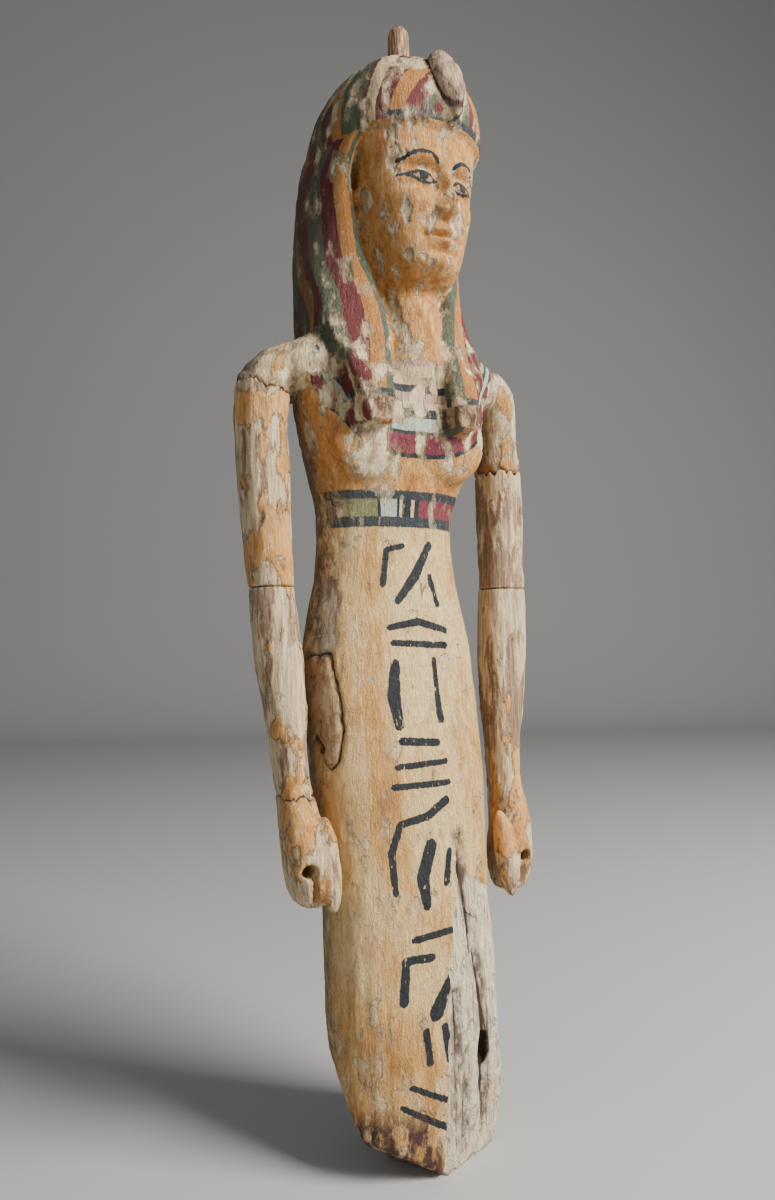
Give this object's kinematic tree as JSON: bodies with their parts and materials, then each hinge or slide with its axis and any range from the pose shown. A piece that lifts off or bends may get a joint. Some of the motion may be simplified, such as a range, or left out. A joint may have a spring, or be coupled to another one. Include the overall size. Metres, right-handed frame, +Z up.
{
  "type": "wooden statuette",
  "caption": "Ancient painted wooden standing figure with a striped headcloth, clenched fists, a belt and a long sheath dress, worn and cracked, with a bare wood crown peg.",
  "frame": {"origin": "on the flat underside that the figure stands on, under the middle of the base", "axes": "+Z up through the head, the figure faces -Y, its left arm is at +X"},
  "size_m": [0.173, 0.1127, 0.6069],
  "materials": {
    "painted_gesso": "carved wood with a cracked, painted gesso skin",
    "arm_paint": "carved wood with worn ochre paint and flaked gesso",
    "bare_wood": "bare old wood"
  },
  "bodies": {
    "root": {"body": "painted_gesso", "right_upper_arm": "arm_paint", "right_forearm": "arm_paint", "left_upper_arm": "arm_paint", "left_forearm": "arm_paint", "crown_peg": "bare_wood"}
  },
  "joints": []
}
